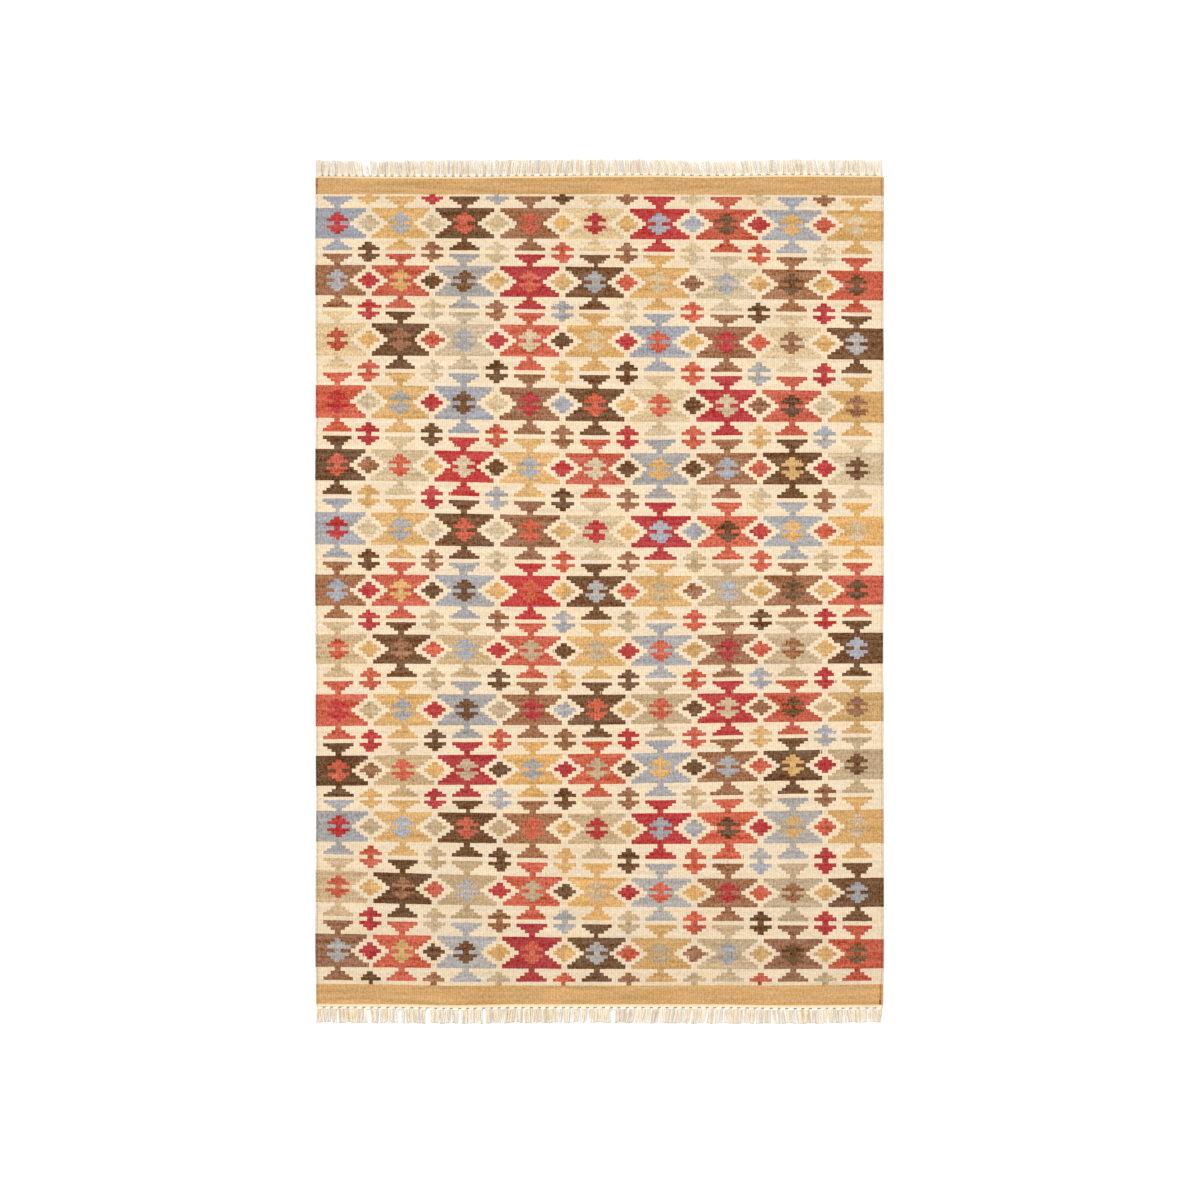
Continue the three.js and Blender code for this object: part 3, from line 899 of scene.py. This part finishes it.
def makeFringe(end):
    shape = ends[end]
    sign = shape["sign"]
    draws = np.random.default_rng(shape["seed"])
    tassels = np.arange(fringe["tassels"])
    start = fringe["inset"] - halfWidth
    border = np.arange(fringe["tassels"] + 1)
    drift = knotDrift["by"] * np.sin(knotDrift["turn"] * border + shape["knotWave"])
    drift[[0, -1]] = 0
    share = border / fringe["tassels"]
    share = share - shape["crowding"] * share * (1 - share) ** 2
    borders = start - 2 * start * share + drift
    middle = (borders[:-1] + borders[1:]) / 2
    halfPitch = (borders[1:] - borders[:-1]) / 2
    flat, upright = (0, 0, 1), (0, 1, 0)

    def woven(x):
        return wovenEnd(sign * x, end)

    def along(points, t):
        # a value that changes along a tassel
        return readTable([{"t": at, "value": value} for at, value in points], "t", t, "value")

    across = 0.5 + sign * middle / rug["width"]
    lean = sum(w["by"] * np.sin(w["turn"] * tassels + shape["leanWave"]) for w in leanWaves)
    lean = lean + sign * readTable(shape["rows"], "across", across, "lean")
    lean = lean + draws.normal(0, tassel["askew"], len(tassels))
    parts = []

    # warp ends leave the cloth and run together into the knots
    rib = np.arange(rug["ribs"]) + 0.5
    band = 0 if end == "top" else len(bars) - 1
    x = sign * warpPlaces(rib, band, 1.0 if end == "top" else 0.0)
    near = middle[np.abs(x[:, None] - middle).argmin(axis=1)]
    t = np.linspace(0, 1, 4)
    path = np.zeros((len(rib), len(t), 3))
    path[..., 0] = near[:, None] + (x - near)[:, None] * (1 - warpEnd["gather"] * t * t)
    reach = warpEnd["hidden"] + shape["shadowCord"] + warpEnd["past"]
    path[..., 1] = woven(x)[:, None] - warpEnd["hidden"] + reach * t
    path[..., 2] = warpEnd["height"] + warpEnd["rise"] * t
    parts.append((path, warpEnd, flat, 0.0, "cream"))

    # twined rows hold them against the cloth
    count = int((halfWidth - fringe["inset"]) * 2 / twine["step"])
    x = np.linspace(start, -start, count)
    for depth, height, tone in zip(shape["twine"], twine["heights"], twine["tones"]):
        path = np.stack([x, woven(x) + depth, np.full(count, height)], axis=1)[None]
        parts.append((path, twine, flat, 0.0, tone))

    # painted shadow: a dark cord shows between two knots, where the openings between them lie in shade
    reach = np.linspace(-shadowCord["half"], shadowCord["half"], 5)
    path = np.zeros((len(borders) - 2, len(reach), 3))
    path[..., 0] = borders[1:-1, None] + reach * halfPitch[1:, None]
    out = shape["shadowCord"] + draws.uniform(-shadowCord["stray"], shadowCord["stray"], (len(path), 1))
    path[..., 1] = woven(borders[1:-1])[:, None] + out
    path[..., 2] = shadowCord["height"]
    parts.append((path, shadowCord, flat, 0.0, "shadowCord"))

    # the knots, each a few turns of yarn wound aslant
    turn = 2 * math.pi * np.linspace(0, knot["turns"], knot["points"])
    path = np.zeros((len(tassels), len(turn), 3))
    slant = draws.uniform(*knot["slant"], (len(tassels), 1))
    path[..., 0] = middle[:, None] + knot["halfWidth"] * halfPitch[:, None] * np.cos(turn)
    path[..., 1] = woven(middle)[:, None] + shape["shadowCord"] + knot["pitch"] * turn / (2 * math.pi)
    path[..., 1] += slant * np.cos(turn)
    path[..., 2] = knot["halfHeight"] * (1 + np.sin(turn)) + knot["radius"] + knot["above"]
    parts.append((path, knot, upright, 0.0, "cream"))

    # the tassels: yarns that spread out of each knot and lie down on the floor
    side = np.linspace(-1, 1, tassel["yarns"])
    t = np.linspace(0, 1, tassel["steps"] + 1)
    size = (len(tassels), tassel["yarns"])
    ahead = np.where(side > 0, tassel["halfTurn"], 0)
    shorter = (1 - np.cos(tassel["unevenTurn"] * tassels[:, None] + ahead)) / 2
    tips = readTable(shape["rows"], "across", across, "tips")
    width = halfPitch * (tassel["widest"] - draws.uniform(0, shape["narrow"], len(tassels)))
    for thin in shape["thin"]:
        its = np.abs(across - thin["across"]).argmin()
        tips[its] -= thin["shorter"]
        width[its] *= thin["width"]
    tips = tips[:, None] - tassel["uneven"] * shorter - draws.uniform(0, tassel["cut"], size)
    astray = draws.normal(0, tassel["stray"], size)
    sway = draws.uniform(0, 2 * math.pi, size)
    path = np.zeros((*size, len(t), 3))
    rootY = woven(middle)[:, None, None] + shape["shadowCord"] + tassel["root"]
    tipY = halfLength + tips[..., None]
    path[..., 0] = middle[:, None, None] + width[:, None, None] * side[:, None] * along(tassel["spread"], t)
    path[..., 0] += lean[:, None, None] * t ** tassel["bow"]
    curl = tassel["curl"] * np.sin(tassel["curlTurn"] * t + sway[..., None])
    path[..., 0] += astray[..., None] * t + curl * t
    for parting in shape["partings"]:
        away = path[..., 0] - sign * (parting["across"] - 0.5) * rug["width"]
        give = np.exp(-np.abs(away) / tassel["parted"]) * along(tassel["opened"], t)
        path[..., 0] += np.sign(away[..., :1]) * parting["wide"] / 2 * give
    path[..., 1] = rootY + (tipY - rootY) * t
    lower, upper = tassel["layers"]
    layer = lower + upper * (np.arange(tassel["yarns"]) % 2)[:, None]
    lift = draws.uniform(0, tassel["lift"], size)[..., None] * np.sin(math.pi * t)
    path[..., 2] = tassel["radius"] * tassel["lying"] + layer * (1 - t / 2) + lift
    path[..., 2] += tassel["hump"] * (1 - t) ** tassel["humpPower"] - tassel["sink"] * t
    path[..., 2] = np.maximum(path[..., 2], tassel["radius"] * tassel["lowest"])

    # some tassels hold more tan yarn. In the picture, peach lies at their left and lilac at their right;
    # the lilac is painted shade on the side away from the light.
    seen = sign * side
    roll = draws.uniform(0, 1, size)
    warm = draws.uniform(0, 1, (len(tassels), 1)) ** 2
    # tan yarns are partly a darker yarn and partly painted shade in the streaks between yarns
    tan = tanLeast + shape["tan"] * warm
    tanOrPeach = tan + np.where(seen < peach["from"], peach["there"], peach["else"])
    notShadedLilac = 1 - np.where(seen > shadedLilac["from"], shadedLilac["there"], shadedLilac["else"])
    tests = {"tan": roll < tan, "peach": roll < tanOrPeach, "shadedLilac": roll > notShadedLilac}
    numbers = [yarnTones.index(name) for name in tests]
    tone = np.select(list(tests.values()), numbers, yarnTones.index("cream")).ravel()
    path = path.reshape(-1, len(t), 3)
    skew = draws.uniform(0, math.pi, (len(path), 1))
    parts.append((path, tassel, flat, skew, tone))

    points, faces, maps, tones, lights, offset = [], [], [], [], [], 0
    for *made, tone in parts:
        ring, partFaces, partMaps, each = tubes(*made)
        if isinstance(tone, str):
            tone = np.full(len(ring) // each, yarnTones.index(tone))
        points.append(ring)
        faces += [[index + offset for index in face] for face in partFaces]
        maps.append(partMaps)
        tones.append(np.repeat(tone, each))
        light = np.repeat(draws.uniform(*fringe["light"], len(ring) // each), each)
        here = 0.5 + sign * ring[:, 0] / rug["width"]
        lights.append(light * readTable(shape["rows"], "across", here, "light"))
        offset += len(ring)
    points = np.concatenate(points)
    if end == "bottom":
        points = points * [-1, -1, 1]
    made = makeObject(end + "Fringe", points + [0, rug["middle"], 0], faces)
    storeValues(made.data, "tone", "POINT", np.concatenate(tones))
    storeValues(made.data, "light", "POINT", np.concatenate(lights))
    layer = made.data.uv_layers.new(name="yarnTwist")
    layer.data.foreach_set("uv", np.concatenate(maps).astype(np.float32).ravel())
    return made


cotton = {
    "cream": (254, 242, 220),
    "peach": (253, 231, 197),
    # painted shade: the lilac yarns on each tassel's shaded side
    "shadedLilac": (232, 222, 215),
    # a darker yarn, partly painted shade in the streaks between yarns
    "tan": (232, 208, 168),
    "golden": (252, 224, 178),
    # painted shadow: the dark cord between the knots
    "shadowCord": (150, 126, 88),
    "groove": 0.14,        # how much painted shade darkens the groove between two plies
    "groovePower": 3.0,
    "smudge": 0.1,
    "fuzz": 0.5,
    "bump": 0.4,
    "bumpDepth": 0.0002,
    "roughness": 0.9,
    "gloss": 0.2,
    "sheen": 0.1,
    "sheenRoughness": 0.5,
}
cottonClouds = {"smudge": ((60, 90, 60), 3.0), "fuzz": ((1500, 1500, 1500), 2.0)}


def cottonMaterial():
    material, tree, shader = newMaterial("undyed cotton")
    place = tree.nodes.new("ShaderNodeTexCoord").outputs["Object"]
    count = len(yarnTones)
    at = calc(tree, "DIVIDE", calc(tree, "ADD", stored(tree, "tone"), 0.5), float(count))
    starts = [index / count for index in range(count)]
    colour = stepRamp(tree, at, starts, [linear(cotton[tone]) for tone in yarnTones])
    smudge = calc(tree, "SUBTRACT", noise(tree, place, *cottonClouds["smudge"]), 0.5)
    light = calc(tree, "MULTIPLY_ADD", smudge, 2 * cotton["smudge"], stored(tree, "light"))

    # painted shade in the groove between the two plies
    twist = tree.nodes.new("ShaderNodeUVMap")
    twist.uv_map = "yarnTwist"
    split = tree.nodes.new("ShaderNodeSeparateXYZ")
    tree.links.new(twist.outputs[0], split.inputs[0])
    turn = calc(tree, "SUBTRACT", split.outputs["X"], split.outputs["Y"])
    crest = calc(tree, "COSINE", calc(tree, "MULTIPLY", turn, 4 * math.pi))
    crest = calc(tree, "MULTIPLY_ADD", crest, 0.5, 0.5)
    groove = calc(tree, "POWER", calc(tree, "SUBTRACT", 1.0, crest), cotton["groovePower"])
    light = calc(tree, "MULTIPLY_ADD", groove, -cotton["groove"], light)
    colour = blendColour(tree, 1.0, colour, grey(tree, light), "MULTIPLY")
    tree.links.new(colour, shader.inputs["Base Color"])
    fuzz = noise(tree, place, *cottonClouds["fuzz"])
    finishYarn(tree, shader, calc(tree, "MULTIPLY_ADD", fuzz, cotton["fuzz"], crest), cotton)
    return material


yarnLook = cottonMaterial()
fringes = {}
for end in ("top", "bottom"):
    fringes[end] = makeFringe(end)
    fringes[end].data.materials.append(yarnLook)
    print(end, "fringe knotted:", len(fringes[end].data.polygons), "faces")


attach(cloth, "root")
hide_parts("rug_cloth")
for end, node in (("top", "fringe_top_end"), ("bottom", "fringe_bottom_end")):
    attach(fringes[end], "root")
    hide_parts(node)


# Floor, light and camera
studio = {
    "floorSize": 40,
    "floorDepth": 0.0002,     # how far the floor lies under the rug
    "floorTone": (0.93, 0.93, 0.93),
    "floorPaler": 0.01,
    "floorRoughness": 0.8,
    "floorGloss": 0.1,
    "floorCloud": (3, 3, 3),
    "sky": 0.81,
    "sun": 1.62,
    "sunAngle": 25,
    "sunTilt": (28, -22),     # degrees off the vertical, about x and y
    "frameWidth": 3.3744,     # what the picture spans at the rug, in metres
    "aim": (0.0017, -0.0222),
    "lens": 100,              # lens and sensor are in millimetres
    "sensor": 36,
}


def setStudio():
    half = studio["floorSize"] / 2
    mesh = bpy.data.meshes.new("studioFloor")
    corners = [(-half, -half, 0), (half, -half, 0), (half, half, 0), (-half, half, 0)]
    mesh.from_pydata(corners, [], [(0, 1, 2, 3)])
    floor = bpy.data.objects.new("studioFloor", mesh)
    floor.location.z = -studio["floorDepth"]
    bpy.context.scene.collection.objects.link(floor)
    material, tree, shader = newMaterial("pale floor")
    place = tree.nodes.new("ShaderNodeTexCoord").outputs["Object"]
    cloud = noise(tree, place, studio["floorCloud"])
    pale = [*studio["floorTone"], 1.0]
    paler = [tone + studio["floorPaler"] for tone in studio["floorTone"]] + [1.0]
    tree.links.new(blendColour(tree, cloud, pale, paler), shader.inputs["Base Color"])
    shader.inputs["Roughness"].default_value = studio["floorRoughness"]
    shader.inputs["Specular IOR Level"].default_value = studio["floorGloss"]
    mesh.materials.append(material)

    world = bpy.data.worlds.new("studio")
    world.use_nodes = True
    background = world.node_tree.nodes["Background"]
    background.inputs["Color"].default_value = (1.0, 1.0, 1.0, 1.0)
    background.inputs["Strength"].default_value = studio["sky"]
    bpy.context.scene.world = world

    lamp = bpy.data.lights.new("softSun", "SUN")
    lamp.energy = studio["sun"]
    lamp.angle = math.radians(studio["sunAngle"])
    sun = bpy.data.objects.new("softSun", lamp)
    sun.rotation_euler = [math.radians(-studio["sunTilt"][0]), math.radians(studio["sunTilt"][1]), 0]
    bpy.context.scene.collection.objects.link(sun)


def setCamera():
    data = bpy.data.cameras.new("photoCamera")
    data.lens = studio["lens"]
    data.sensor_width = studio["sensor"]
    distance = studio["frameWidth"] * data.lens / data.sensor_width
    camera = bpy.data.objects.new("photoCamera", data)
    camera.location = (*studio["aim"], distance + rug["crown"] / 1000)
    bpy.context.scene.collection.objects.link(camera)
    bpy.context.scene.camera = camera


setStudio()
setCamera()
bpy.context.scene.view_settings.view_transform = "Standard"
print("studio lit")
